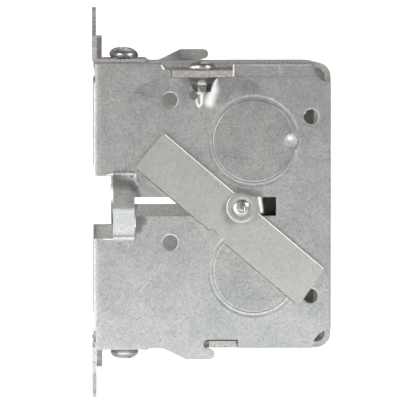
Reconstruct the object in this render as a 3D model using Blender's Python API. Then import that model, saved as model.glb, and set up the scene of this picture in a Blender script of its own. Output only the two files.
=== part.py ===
"""Gangable steel device box for old work: wrapped body, two hooked-on side plates,
two slotted plaster ears and a swing-bar clamp on each side.

The box lies on its back along +X, into the wall. The front opening faces -X, +Z is up, and the
right-hand side, as seen from the room, faces -Y. The left-hand side is the right-hand side
turned half a turn about the X axis, except that its bar rests 10 degrees further round.
"""

import math

import bmesh
import bpy
from mathutils import Vector
from mathutils.geometry import tessellate_polygon

MM = 0.001

# Box: 3 x 2 x 2-1/2 in nominal; the wrap stands a little proud of the side plates
HEIGHT = 77.0
WIDTH = 50.8
FRONT_X = -0.5
BACK_X = 63.3
SHEET = 1.6
GAP = 0.3
WRAP_RADIUS = 3.8
HALF_WRAP = WIDTH / 2 - SHEET - GAP  # body walls end this far from the middle plane
PLATE_OUT = -WIDTH / 2
PLATE_IN = PLATE_OUT + SHEET

# Plaster ears
EAR_THICK = 0.9
EAR_TOP = 53.4
EAR_HALF_BASE = 20.0
EAR_HALF_TIP = 10.0
EAR_THROAT = 7.6
FOOT_INNER = 8.6
FOOT_END = 14.3
FOOT_GAP = 0.2
FOOT_BOTTOM = HEIGHT / 2 + FOOT_GAP
EAR_TRAVEL = 3.5
SCREW_X = 7.8
SCREW_Y = 14.4
SCREW_R = 1.75
SCREW_CLEAR = 2.05

# Device tabs on the body: 6-32 holes at 83.3 mm
TAB_X = (0.3, 1.8)
TAB_HALF = 6.0
TAB_TOP = 45.6
TAB_HOLE_Z = 41.65
TAB_HOLE_R = 1.75

# Gang lug, collar and screw
LUG_X = (20.5, 36.2)
LUG_Z = (34.7, 36.5)
LUG_REACH = 8.5
GANG_X = 28.4
GANG_Y = PLATE_OUT - 4.3
GANG_R = 2.05

# Tongue on the opposite wall, held by the plate's hook
TONGUE_X = (30.4, 37.7)
TONGUE_Z = (-38.2, -36.5)
TONGUE_REACH = 2.4

# Knockouts, half-inch trade size
KNOCK_R = 11.2
KNOCK_TIE_R = 2.2
KNOCK_TIE_AT = 10.0
SIDE_KNOCKS = ((42.5, 17.35), (42.5, -17.75))
WALL_KNOCK_X = 46.0

# Side plate holes: x, z, radius
PLATE_HOLES = ((19.9, 28.4, 2.05), (20.0, -9.95, 2.05), (57.9, 23.9, 2.0), (57.8, -24.4, 2.0),
               (26.3, 29.8, 1.3))
SLOT_X = (10.7, 48.5)
SLOT_Z = (-2.8, 2.3)
NOTCH_Z = (-8.8, 8.0)
STRIP_X = (4.6, 10.5)
STRIP_Z = (-9.1, 8.3)
STRIP_BOW = 4.0
STRIP_THICK = 1.3

# Swing-bar clamp; the pivot is the moving origin
PIVOT_X = 39.1
PIVOT_Z = -0.46
BAR_ANGLE = math.radians(-40.3)
LEFT_BAR_ANGLE = math.radians(-50.3)
BAR_S = (-28.8, 27.7)
BAR_SLANT = 1.1
BAR_W = (-1.85, 10.45)
BAR_THICK = 1.3
BAR_EYE_R = 3.4
CLIP_DISC_R = 4.1
CLIP_THICK = 1.0
RIVET_R = 1.3
RIVET_HEAD_R = 2.0

LEFT_TURN = (math.pi, 0.0, 0.0)

ZINC = (0.66, 0.67, 0.66, 1.0)
BAR_ZINC = (0.70, 0.69, 0.66, 1.0)
SCREW_ZINC = (0.78, 0.79, 0.80, 1.0)


def arc(cx, cy, radius, start, end, steps):
    """Points from one angle to another, in degrees."""
    angles = [math.radians(start + (end - start) * i / steps) for i in range(steps + 1)]
    return [(cx + radius * math.cos(a), cy + radius * math.sin(a)) for a in angles]


def circle(cx, cy, radius, steps):
    return arc(cx, cy, radius, 0.0, 360.0, steps)[:-1]


def tied_circle(cx, cy, radius, tie_radius, towards=0.0):
    """A knockout's outline: a circle with the small round tie that holds the slug."""
    at = KNOCK_TIE_AT
    wide = math.degrees(math.acos((at * at + radius * radius - tie_radius * tie_radius)
                                  / (2 * at * radius)))
    meet_x = radius * math.cos(math.radians(wide)) - at
    meet_y = radius * math.sin(math.radians(wide))
    lobe = math.degrees(math.atan2(meet_y, meet_x))
    points = arc(0.0, 0.0, radius, wide, 360.0 - wide, 36)
    points += arc(at, 0.0, tie_radius, -lobe, lobe, 8)[1:-1]
    turn_cos, turn_sin = math.cos(math.radians(towards)), math.sin(math.radians(towards))
    return [(cx + u * turn_cos - v * turn_sin, cy + u * turn_sin + v * turn_cos) for u, v in points]


def placed(axis, u, v, along):
    if axis == "X":
        return Vector((along, u, v)) * MM
    if axis == "Y":
        return Vector((u, along, v)) * MM
    return Vector((u, v, along)) * MM


def finished(shape, name):
    bmesh.ops.recalc_face_normals(shape, faces=shape.faces)
    mesh = bpy.data.meshes.new(name)
    shape.to_mesh(mesh)
    shape.free()
    return mesh


def prism(name, axis, low, high, outline, holes=()):
    """A flat outline with holes, drawn out along one axis."""
    loops = [outline, *holes]
    triangles = tessellate_polygon([[Vector((u, v, 0.0)) for u, v in loop] for loop in loops])
    shape = bmesh.new()
    ends = []
    for along in (low, high):
        ends.append([shape.verts.new(placed(axis, u, v, along)) for loop in loops for u, v in loop])
    for a, b, c in triangles:
        shape.faces.new((ends[0][a], ends[0][b], ends[0][c]))
        shape.faces.new((ends[1][c], ends[1][b], ends[1][a]))
    first = 0
    for loop in loops:
        count = len(loop)
        for i in range(count):
            a, b = first + i, first + (i + 1) % count
            shape.faces.new((ends[0][a], ends[0][b], ends[1][b], ends[1][a]))
        first += count
    return finished(shape, name)


def block(name, x, y, z):
    return prism(name, "Z", z[0], z[1], [(x[0], y[0]), (x[1], y[0]), (x[1], y[1]), (x[0], y[1])])


def turned(name, profile, steps, axis="Z", centre=(0.0, 0.0)):
    """A closed round solid from (radius, height) pairs, its first and last on the axis."""
    shape = bmesh.new()
    rings = []
    for radius, height in profile:
        if radius == 0.0:
            rings.append([shape.verts.new(placed(axis, *centre, height))])
        else:
            rings.append([shape.verts.new(placed(axis, u, v, height))
                          for u, v in circle(*centre, radius, steps)])
    for lower, upper in zip(rings, rings[1:]):
        for i in range(steps):
            j = (i + 1) % steps
            if len(lower) == 1:
                shape.faces.new((lower[0], upper[i], upper[j]))
            elif len(upper) == 1:
                shape.faces.new((lower[i], upper[0], lower[j]))
            else:
                shape.faces.new((lower[i], upper[i], upper[j], lower[j]))
    return finished(shape, name)


def combined(name, base, steps):
    """The base mesh after a list of ("UNION" or "DIFFERENCE", mesh) steps."""
    parts = [bpy.data.objects.new(name, base)]
    bpy.context.scene.collection.objects.link(parts[0])
    for operation, mesh in steps:
        tool = bpy.data.objects.new(mesh.name, mesh)
        tool.hide_render = True
        tool.display_type = "WIRE"
        bpy.context.scene.collection.objects.link(tool)
        parts.append(tool)
        change = parts[0].modifiers.new(operation.lower(), "BOOLEAN")
        change.operation = operation
        change.solver = "EXACT"
        change.object = tool
    bpy.context.view_layer.update()
    ready = parts[0].evaluated_get(bpy.context.evaluated_depsgraph_get())
    result = bpy.data.meshes.new_from_object(ready)
    result.name = name
    for part in parts:
        bpy.data.objects.remove(part, do_unlink=True)
    return result


def metal(name, colour, roughness):
    material = bpy.data.materials.new(name)
    material.use_nodes = True
    shader = material.node_tree.nodes["Principled BSDF"]
    shader.inputs["Base Color"].default_value = colour
    shader.inputs["Metallic"].default_value = 1.0
    shader.inputs["Roughness"].default_value = roughness
    return material


def node(name, mesh, colour, roughness, location=(0.0, 0.0, 0.0), rotation=(0.0, 0.0, 0.0)):
    """One named object with its own material, its origin at the location in mm."""
    piece = bpy.data.objects.new(name, mesh.copy())
    piece.data.name = name
    piece.data.shade_smooth()
    piece.data.set_sharp_from_angle(angle=math.radians(28))
    piece.data.materials.clear()
    piece.data.materials.append(metal(name, colour, roughness))
    for face in piece.data.polygons:
        face.material_index = 0
    piece.location = Vector(location) * MM
    piece.rotation_euler = rotation
    bpy.context.scene.collection.objects.link(piece)
    return piece


def both_sides(base, mesh, colour, roughness, location=(0.0, 0.0, 0.0), level=""):
    """The right-hand piece and its left-hand twin, half a turn about X."""
    x, y, z = location
    twin_level = {"": "", "upper_": "lower_", "lower_": "upper_"}[level]
    node(f"{base}{level}right", mesh, colour, roughness, location)
    node(f"{base}{twin_level}left", mesh, colour, roughness, (x, -y, -z), LEFT_TURN)


def half_turned(mesh, name):
    """The mesh half a turn about the X axis."""
    copy = mesh.copy()
    copy.name = name
    for vertex in copy.vertices:
        vertex.co.y, vertex.co.z = -vertex.co.y, -vertex.co.z
    return copy


def body_mesh():
    top, inner = HEIGHT / 2, HEIGHT / 2 - SHEET
    cx, cz = BACK_X - WRAP_RADIUS, top - WRAP_RADIUS
    bend = WRAP_RADIUS - SHEET
    outline = [(FRONT_X, top)] + arc(cx, cz, WRAP_RADIUS, 90, 0, 8)
    outline += arc(cx, -cz, WRAP_RADIUS, 0, -90, 8) + [(FRONT_X, -top), (FRONT_X, -inner)]
    outline += arc(cx, -cz, bend, -90, 0, 8) + arc(cx, cz, bend, 0, 90, 8) + [(FRONT_X, inner)]
    base = prism("wrap", "Y", -HALF_WRAP, HALF_WRAP, outline)

    lug_end = PLATE_OUT - LUG_REACH
    lug = prism("lug", "X", *LUG_X,
                [(lug_end, LUG_Z[0]), (-21.0, LUG_Z[0]), (-19.2, 36.6), (-19.2, 37.4),
                 (-23.3, 37.4), (-24.6, LUG_Z[1]), (lug_end, LUG_Z[1])])
    collar = turned("collar", [(0.0, 33.2), (3.1, 33.2), (3.9, 34.5), (3.9, 35.2), (0.0, 35.2)],
                    20, "Z", (GANG_X, GANG_Y))
    tap = turned("tap", [(0.0, 30.0), (GANG_R + GAP, 30.0), (GANG_R + GAP, 40.0), (0.0, 40.0)],
                 20, "Z", (GANG_X, GANG_Y))
    tongue = block("tongue", TONGUE_X, (PLATE_OUT - TONGUE_REACH + SHEET, -20.0), TONGUE_Z)

    tab_turn = TAB_TOP - 3.0
    tab = prism("tab", "X", *TAB_X,
                [(-TAB_HALF, 37.2), (TAB_HALF, 37.2)]
                + arc(TAB_HALF - 3.0, tab_turn, 3.0, 0, 90, 5)
                + arc(-TAB_HALF + 3.0, tab_turn, 3.0, 90, 180, 5))
    tab_hole = turned("tab_hole", [(0.0, -3.0), (TAB_HOLE_R, -3.0), (TAB_HOLE_R, 5.0), (0.0, 5.0)],
                      16, "X", (0.0, TAB_HOLE_Z))
    setback = block("setback", (-3.0, TAB_X[0]), (-TAB_HALF - 1.0, TAB_HALF + 1.0), (35.0, 40.0))

    steps = []
    for mesh in (lug, collar, tab, tongue):
        steps += [("UNION", mesh), ("UNION", half_turned(mesh, mesh.name + "_left"))]
    for mesh in (tap, tab_hole, setback):
        steps += [("DIFFERENCE", mesh), ("DIFFERENCE", half_turned(mesh, mesh.name + "_left"))]
    for y in (-SCREW_Y, SCREW_Y):
        hole = turned("screw_hole", [(0.0, 33.0), (SCREW_CLEAR, 33.0), (SCREW_CLEAR, 41.0), (0.0, 41.0)],
                      16, "Z", (SCREW_X, y))
        steps += [("DIFFERENCE", hole), ("DIFFERENCE", half_turned(hole, "screw_hole_low"))]
    knock = prism("knock", "Z", 33.0, 41.0,
                  tied_circle(WALL_KNOCK_X, 0.0, KNOCK_R, KNOCK_TIE_R, 180.0))
    steps += [("DIFFERENCE", knock), ("DIFFERENCE", half_turned(knock, "knock_low"))]
    steps.append(("DIFFERENCE", prism("knock_back", "X", 58.0, 66.0,
                                      tied_circle(0.0, 0.0, KNOCK_R, KNOCK_TIE_R, 90.0))))
    steps.append(("DIFFERENCE", turned("ground_hole",
                                       [(0.0, 58.0), (2.1, 58.0), (2.1, 66.0), (0.0, 66.0)],
                                       16, "X", (0.0, -20.0))))
    return combined("box_body", base, steps)


def strip_mesh():
    """The lanced strip that stands out over the front end of the slot."""
    steps = 20
    middle = (STRIP_Z[0] + STRIP_Z[1]) / 2
    half = (STRIP_Z[1] - STRIP_Z[0]) / 2
    rows = [(STRIP_Z[1] + 1.2, 0.0)]
    for i in range(steps + 1):
        z = STRIP_Z[1] - 2 * half * i / steps
        rows.append((z, STRIP_BOW * (1.0 - ((z - middle) / half) ** 2)))
    rows.append((STRIP_Z[0] - 1.2, 0.0))
    shape = bmesh.new()
    rings = []
    for z, bow in rows:
        swell = 0.9 * max(0.0, 1.0 - ((z - 3.0) / 3.2) ** 2)
        outer = PLATE_OUT + 0.05 - bow
        inner = outer + STRIP_THICK
        left, right = STRIP_X[0] - swell, STRIP_X[1]
        rings.append([shape.verts.new(Vector((x, y, z)) * MM)
                      for x, y in ((left, outer), (right, outer), (right, inner), (left, inner))])
    for upper, lower in zip(rings, rings[1:]):
        for i in range(4):
            j = (i + 1) % 4
            shape.faces.new((upper[i], upper[j], lower[j], lower[i]))
    shape.faces.new(rings[0])
    shape.faces.new(rings[-1])
    return finished(shape, "strip")


def plate_mesh():
    outline = [(-0.1, 38.0), (17.7, 38.0), (18.9, 36.5), (20.1, 36.5), (20.1, 34.4),
               (36.6, 34.4), (36.6, 36.5), (36.9, 36.5), (36.9, 38.0)]
    outline += arc(BACK_X, 38.0, 4.95, 180, 270, 8)
    outline += arc(BACK_X, -38.5, 4.95, 90, 180, 8)
    outline += [(38.2, -38.5), (38.2, -36.2)]
    outline += arc(30.1, -37.4, 1.2, 90, 270, 8)
    outline += [(31.3, -38.95), (31.9, -39.5), (32.0, -40.4), (31.6, -41.15), (30.8, -41.5),
                (24.2, -41.5), (18.0, -38.5), (-0.1, -38.5), (-0.1, -34.0), (FRONT_X, -33.6),
                (FRONT_X, NOTCH_Z[0]), (SLOT_X[0], NOTCH_Z[0]), (SLOT_X[0], SLOT_Z[0]),
                (SLOT_X[1], SLOT_Z[0]), (SLOT_X[1], SLOT_Z[1]), (SLOT_X[0], SLOT_Z[1]),
                (SLOT_X[0], NOTCH_Z[1]), (FRONT_X, NOTCH_Z[1]), (FRONT_X, 32.8), (-0.1, 33.2)]
    holes = [circle(x, z, r, 16) for x, z, r in PLATE_HOLES]
    holes += [tied_circle(x, z, KNOCK_R, KNOCK_TIE_R) for x, z in SIDE_KNOCKS]
    flat = prism("flat", "Y", PLATE_OUT, PLATE_IN, outline, holes)
    return combined("side_plate", flat, [("UNION", strip_mesh())])


def ear_mesh():
    """The upper ear: a plate against the wall's face, and two slotted feet on the box."""
    low = FOOT_BOTTOM
    right = [(EAR_HALF_BASE, low), (EAR_HALF_BASE, 42.5)]
    right += [(18.6, 45.6), (15.6, 48.6), (12.2, 51.2)] + arc(EAR_HALF_TIP - 1.4, 52.0, 1.4, 20, 90, 4)
    throat = [(EAR_THROAT, low)] + arc(EAR_THROAT - 1.5, 45.1, 1.5, 0, 90, 4)
    outline = right + [(-y, z) for y, z in reversed(right)]
    outline += [(-y, z) for y, z in throat] + list(reversed(throat))
    slot_half = SCREW_CLEAR
    fixing = arc(2.6, 49.7, 2.2, -90, 90, 6) + arc(-2.6, 49.7, 2.2, 90, 270, 6)
    plate = prism("ear_plate", "X", -EAR_THICK, 0.0, outline,
                  [fixing, circle(-14.3, 43.2, 1.8, 14), circle(14.3, 43.2, 1.8, 14)])
    steps = []
    for side in (-1, 1):
        inner, outer = sorted((side * FOOT_INNER, side * (EAR_HALF_BASE - 0.02)))
        corners = [(-EAR_THICK + 0.02, inner), (FOOT_END - 1.2, inner), (FOOT_END, inner + 1.2),
                   (FOOT_END, outer - 1.2), (FOOT_END - 1.2, outer), (-EAR_THICK + 0.02, outer)]
        reach = EAR_TRAVEL + 0.2
        slot = arc(SCREW_X + reach, side * SCREW_Y, slot_half, -90, 90, 8)
        slot += arc(SCREW_X - reach, side * SCREW_Y, slot_half, 90, 270, 8)
        steps.append(("UNION", prism("foot", "Z", low + 0.02, low + EAR_THICK, corners, [slot])))
    return combined("ear", plate, steps)


def screw_mesh(name, shank_r, head_r, head_low, head_high, tip, slot_wide):
    """A slotted round-head screw pointing down, its head's underside at head_low."""
    round_at = head_high - 0.8
    profile = [(0.0, tip), (shank_r - 0.5, tip), (shank_r, tip + 0.6), (shank_r, head_low),
               (head_r, head_low), (head_r, round_at), (head_r - 0.35, head_high - 0.25),
               (head_r - 1.0, head_high), (0.0, head_high)]
    head = turned(name, profile, 24)
    cut = block(name + "_slot", (-head_r - 1.0, head_r + 1.0), (-slot_wide / 2, slot_wide / 2),
                (head_high - 1.1, head_high + 1.0))
    return combined(name, head, [("DIFFERENCE", cut)])


def bar_point(s, w, angle):
    """A point on the bar, along and across it, as x and z from the pivot."""
    along = (math.cos(angle), math.sin(angle))
    across = (math.sin(angle), -math.cos(angle))
    return (s * along[0] + w * across[0], s * along[1] + w * across[1])


def bar_mesh(angle):
    eye = math.degrees(math.acos(-BAR_W[0] / BAR_EYE_R))
    points = [(BAR_S[0], BAR_W[0]), *[(s, w) for w, s in arc(0, 0, BAR_EYE_R, 180 + eye, 180 - eye, 10)],
              (BAR_S[1], BAR_W[0]), (BAR_S[1] + BAR_SLANT, BAR_W[1] - 1.2), (BAR_S[1], BAR_W[1]),
              (2.7, BAR_W[1]), (2.3, BAR_W[1] - 0.9),
              (-2.3, BAR_W[1] - 0.9), (-2.7, BAR_W[1]), (BAR_S[0] + 0.7, BAR_W[1]),
              (BAR_S[0], BAR_W[1] - 0.7)]
    return prism("swing_bar", "Y", 0.0, -BAR_THICK, [bar_point(s, w, angle) for s, w in points],
                 [circle(0.0, 0.0, RIVET_R + GAP, 20)])


def clip_mesh():
    """Disc over the bar, neck bent in through the slot, a wide foot and a sloped tail inside."""
    low, high = -BAR_THICK - GAP - CLIP_THICK, -BAR_THICK - GAP
    inside = PLATE_IN - PLATE_OUT + GAP  # from the bar's inner face to the far face of the foot
    start = math.degrees(math.asin(2.6 / CLIP_DISC_R))
    end = math.degrees(math.asin(1.35 / CLIP_DISC_R))
    outline = arc(0.0, 0.0, CLIP_DISC_R, start, 360.0 - end, 28) + [(5.98, -1.28), (5.98, 2.38)]
    disc = prism("disc", "Y", low, high, outline, [circle(0.0, 0.0, RIVET_R + GAP, 20)])
    leg = block("leg", (5.0, 6.0), (low + 0.02, inside + 1.68), (-1.3, 2.4))
    foot = prism("foot", "Y", inside + 0.7, inside + 1.7,
                 [(-3.0, -4.5), (1.0, -4.5), (1.0, -1.28), (5.98, -1.28), (5.98, 2.38), (1.0, 2.38),
                  (1.0, 4.9), (-3.0, 4.9)])
    tail = prism("tail", "Z", -4.5, 4.9,
                 [(5.02, 2.3), (6.0, 2.3), (10.9, 3.0), (10.8, 3.9), (5.02, 3.4)])
    return combined("bar_clip", disc, [("UNION", leg), ("UNION", foot), ("UNION", tail)])


def rivet_mesh():
    head = -BAR_THICK - 2 * GAP - CLIP_THICK
    profile = [(0.0, head - 0.9), (1.2, head - 0.85), (1.8, head - 0.5), (RIVET_HEAD_R, head),
               (RIVET_R, head), (RIVET_R, GAP), (RIVET_HEAD_R, GAP), (RIVET_HEAD_R, GAP + 0.9),
               (0.0, GAP + 0.9)]
    return turned("pivot_rivet", profile, 20, "Y")


def slug_mesh(name, axis, low, high, towards):
    return prism(name, axis, low, high,
                 tied_circle(0.0, 0.0, KNOCK_R - GAP, KNOCK_TIE_R - GAP, towards))


def build():
    for item in list(bpy.data.objects):
        bpy.data.objects.remove(item, do_unlink=True)

    node("box_body", body_mesh(), ZINC, 0.45)
    both_sides("side_plate_", plate_mesh(), ZINC, 0.45)

    ear = ear_mesh()
    node("ear_top", ear, ZINC, 0.42)
    node("ear_bottom", ear, ZINC, 0.42, rotation=LEFT_TURN)
    low = FOOT_BOTTOM + EAR_THICK + FOOT_GAP
    screw = screw_mesh("ear_screw", SCREW_R, 3.8, low, low + 2.4, 33.4, 1.1)
    for side, y in (("right", -SCREW_Y), ("left", SCREW_Y)):
        node(f"ear_screw_top_{side}", screw, SCREW_ZINC, 0.3, (SCREW_X, y, 0.0))
        node(f"ear_screw_bottom_{side}", screw, SCREW_ZINC, 0.3, (SCREW_X, y, 0.0), LEFT_TURN)

    gang = screw_mesh("gang_screw", GANG_R, 3.7, LUG_Z[1] + GAP, 39.1, 30.1, 1.2)
    both_sides("gang_screw_", gang, SCREW_ZINC, 0.3, (GANG_X, GANG_Y, 0.0))

    pivot = (PIVOT_X, PLATE_OUT - GAP, PIVOT_Z)
    node("swing_bar_right", bar_mesh(BAR_ANGLE), BAR_ZINC, 0.38, pivot)
    node("swing_bar_left", bar_mesh(LEFT_BAR_ANGLE), BAR_ZINC, 0.38, (pivot[0], -pivot[1], -pivot[2]), LEFT_TURN)
    both_sides("bar_clip_", clip_mesh(), SCREW_ZINC, 0.34, pivot)
    both_sides("pivot_rivet_", rivet_mesh(), SCREW_ZINC, 0.3, pivot)

    side_slug = slug_mesh("slug", "Y", -SHEET / 2, SHEET / 2, 0.0)
    for (x, z), level in zip(SIDE_KNOCKS, ("upper_", "lower_")):
        both_sides("knockout_", side_slug, ZINC, 0.45, (x, PLATE_OUT + SHEET / 2, z), level)
    wall_slug = slug_mesh("wall_slug", "Z", -SHEET / 2, SHEET / 2, 180.0)
    wall_z = (HEIGHT - SHEET) / 2
    node("knockout_top", wall_slug, ZINC, 0.45, (WALL_KNOCK_X, 0.0, wall_z))
    node("knockout_bottom", wall_slug, ZINC, 0.45, (WALL_KNOCK_X, 0.0, -wall_z), LEFT_TURN)
    back_slug = slug_mesh("back_slug", "X", -SHEET / 2, SHEET / 2, 90.0)
    node("knockout_back", back_slug, ZINC, 0.45, (BACK_X - SHEET / 2, 0.0, 0.0))


build()
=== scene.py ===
"""Looks of the gangable switch box with swing-bar clamps."""

import math

import bmesh
import bpy
from mathutils import Matrix, Vector, noise as wobble
from mathutils.geometry import delaunay_2d_cdt, tessellate_polygon


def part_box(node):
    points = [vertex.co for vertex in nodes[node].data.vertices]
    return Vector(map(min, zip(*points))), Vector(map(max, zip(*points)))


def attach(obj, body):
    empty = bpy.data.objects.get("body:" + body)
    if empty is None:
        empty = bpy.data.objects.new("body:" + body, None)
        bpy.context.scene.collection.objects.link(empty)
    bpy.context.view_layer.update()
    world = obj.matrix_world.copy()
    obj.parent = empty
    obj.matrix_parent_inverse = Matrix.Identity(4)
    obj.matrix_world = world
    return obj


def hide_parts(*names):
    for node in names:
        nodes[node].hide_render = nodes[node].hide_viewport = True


MM = 0.001
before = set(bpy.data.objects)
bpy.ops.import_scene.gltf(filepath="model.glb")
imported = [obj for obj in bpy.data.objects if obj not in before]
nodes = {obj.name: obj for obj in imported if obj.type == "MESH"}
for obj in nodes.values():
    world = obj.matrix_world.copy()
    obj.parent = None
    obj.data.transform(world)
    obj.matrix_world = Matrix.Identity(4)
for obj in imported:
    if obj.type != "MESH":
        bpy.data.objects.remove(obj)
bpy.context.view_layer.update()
scene = bpy.context.scene
HALF_TURN = Matrix.Rotation(math.pi, 4, "X")


def span(node):
    """A node's lowest and highest corners, in mm."""
    low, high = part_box(node)
    return low / MM, high / MM


# ---------------------------------------------------------------- outlines and solids


def arc(cx, cy, radius, start, end, steps):
    angles = [math.radians(start + (end - start) * i / steps) for i in range(steps + 1)]
    return [(cx + radius * math.cos(a), cy + radius * math.sin(a)) for a in angles]


def circle(cx, cy, radius, steps):
    return arc(cx, cy, radius, 0.0, 360.0, steps)[:-1]


def placed(axis, u, v, along):
    """A point in metres, from two coordinates across an axis and one along it, in mm."""
    if axis == "X":
        return Vector((along, u, v)) * MM
    if axis == "Y":
        return Vector((u, along, v)) * MM
    return Vector((u, v, along)) * MM


def finished(shape, name):
    bmesh.ops.recalc_face_normals(shape, faces=shape.faces)
    mesh = bpy.data.meshes.new(name)
    shape.to_mesh(mesh)
    shape.free()
    return mesh


def prism(name, axis, low, high, outline, holes=()):
    """An outline pulled straight along an axis, with holes right through."""
    loops = [outline, *holes]
    triangles = tessellate_polygon([[Vector((u, v, 0.0)) for u, v in loop] for loop in loops])
    shape = bmesh.new()
    ends = [[shape.verts.new(placed(axis, u, v, along)) for loop in loops for u, v in loop]
            for along in (low, high)]
    for a, b, c in triangles:
        shape.faces.new((ends[0][a], ends[0][b], ends[0][c]))
        shape.faces.new((ends[1][c], ends[1][b], ends[1][a]))
    first = 0
    for loop in loops:
        for i in range(len(loop)):
            a, b = first + i, first + (i + 1) % len(loop)
            shape.faces.new((ends[0][a], ends[0][b], ends[1][b], ends[1][a]))
        first += len(loop)
    return finished(shape, name)


def block(name, x, y, z):
    return prism(name, "Z", z[0], z[1], [(x[0], y[0]), (x[1], y[0]), (x[1], y[1]), (x[0], y[1])])


def rings(name, rows, axis="Z", centre=(0.0, 0.0)):
    """A closed solid from rows of (list of radii, height); a single radius of 0 closes an end."""
    shape = bmesh.new()
    made = []
    for radii, height in rows:
        if len(radii) == 1:
            made.append([shape.verts.new(placed(axis, *centre, height))])
            continue
        count = len(radii)
        made.append([shape.verts.new(placed(axis, centre[0] + r * math.cos(2 * math.pi * i / count),
                                            centre[1] + r * math.sin(2 * math.pi * i / count), height))
                     for i, r in enumerate(radii)])
    for lower, upper in zip(made, made[1:]):
        count = max(len(lower), len(upper))
        for i in range(count):
            j = (i + 1) % count
            if len(lower) == 1:
                shape.faces.new((lower[0], upper[i], upper[j]))
            elif len(upper) == 1:
                shape.faces.new((lower[i], upper[0], lower[j]))
            else:
                shape.faces.new((lower[i], upper[i], upper[j], lower[j]))
    return finished(shape, name)


def lofted(name, sections):
    """A closed solid through sections of equal count, each a loop of points in mm."""
    shape = bmesh.new()
    made = [[shape.verts.new(Vector(point) * MM) for point in section] for section in sections]
    for upper, lower in zip(made, made[1:]):
        for i in range(len(upper)):
            j = (i + 1) % len(upper)
            shape.faces.new((upper[i], upper[j], lower[j], lower[i]))
    shape.faces.new(made[0])
    shape.faces.new(made[-1])
    return finished(shape, name)


def combined(name, base, steps):
    """The base mesh after a list of ("UNION" or "DIFFERENCE", mesh) steps."""
    parts = [bpy.data.objects.new(name, base)]
    scene.collection.objects.link(parts[0])
    for operation, mesh in steps:
        tool = bpy.data.objects.new(mesh.name, mesh)
        scene.collection.objects.link(tool)
        parts.append(tool)
        change = parts[0].modifiers.new(operation.lower(), "BOOLEAN")
        change.operation = operation
        change.solver = "EXACT"
        change.object = tool
    bpy.context.view_layer.update()
    ready = parts[0].evaluated_get(bpy.context.evaluated_depsgraph_get())
    result = bpy.data.meshes.new_from_object(ready)
    result.name = name
    for part in parts:
        bpy.data.objects.remove(part, do_unlink=True)
    return result


def inside(point, loops):
    """Whether a point is on the sheet, by crossing count over its outline and holes."""
    x, y = point
    odd = False
    for loop in loops:
        for (x0, y0), (x1, y1) in zip(loop, loop[1:] + loop[:1]):
            if (y0 > y) != (y1 > y) and x < (x1 - x0) * (y - y0) / (y1 - y0) + x0:
                odd = not odd
    return odd


def pressed_sheet(name, out, into, loops, extra, relief):
    """A sheet across Y whose faces carry a pressed relief: relief(x, z) in mm, towards the outside."""
    flat = [Vector(point) for loop in loops for point in loop]
    edges, first = [], 0
    for loop in loops:
        edges += [(first + i, first + (i + 1) % len(loop)) for i in range(len(loop))]
        first += len(loop)
    flat += [Vector(point) for point in extra]
    points, _, faces = delaunay_2d_cdt(flat, edges, [], 0, 1e-6)[:3]
    kept = [face for face in faces
            if inside(sum((points[i] for i in face), Vector((0.0, 0.0))) / len(face), loops)]
    shape = bmesh.new()
    sides = []
    direction = 1.0 if out > into else -1.0
    for face_y in (out, into):
        sides.append([shape.verts.new(Vector((p.x, face_y + direction * relief(p.x, p.y), p.y)) * MM)
                      for p in points])
    used = {}
    for face in kept:
        shape.faces.new([sides[0][i] for i in face])
        shape.faces.new([sides[1][i] for i in reversed(face)])
        for a, b in zip(face, face[1:] + face[:1]):
            used[(a, b)] = True
    for a, b in used:
        if (b, a) not in used:
            shape.faces.new((sides[0][b], sides[0][a], sides[1][a], sides[1][b]))
    for vertex in [v for v in shape.verts if not v.link_faces]:
        shape.verts.remove(vertex)
    return finished(shape, name)


# ---------------------------------------------------------------- materials


def link(tree, a, out, b, into):
    tree.links.new(a.outputs[out], b.inputs[into])


def value_of(tree, operation, first, second=None, third=None, clamp=False):
    """The output of one maths node; each input is a number or a socket."""
    node = tree.nodes.new("ShaderNodeMath")
    node.operation = operation
    node.use_clamp = clamp
    for index, item in enumerate((first, second, third)):
        if item is None:
            continue
        if isinstance(item, (int, float)):
            node.inputs[index].default_value = item
        else:
            tree.links.new(item, node.inputs[index])
    return node.outputs[0]


def ramp(tree, source, stops):
    node = tree.nodes.new("ShaderNodeValToRGB")
    tree.links.new(source, node.inputs["Fac"])
    elements = node.color_ramp.elements
    while len(elements) > 1:
        elements.remove(elements[-1])
    elements[0].position, elements[0].color = stops[0][0], (*stops[0][1], 1.0)
    for position, colour in stops[1:]:
        elements.new(position).color = (*colour, 1.0)
    return node.outputs["Color"]


def noise(tree, place, scale, detail, rough=0.5, distortion=0.0):
    node = tree.nodes.new("ShaderNodeTexNoise")
    node.inputs["Scale"].default_value = scale
    node.inputs["Detail"].default_value = detail
    node.inputs["Roughness"].default_value = rough
    node.inputs["Distortion"].default_value = distortion
    tree.links.new(place, node.inputs["Vector"])
    return node.outputs["Fac"]


# the colour of the painted highlights, which also glow
PAINTED_HIGHLIGHT = (1.0, 0.99, 0.97)
OUTER_FACE = -24.9  # mm; the outer face of the right side lies beyond this
HALF_HEIGHT = 38.1  # mm, of the box


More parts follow.
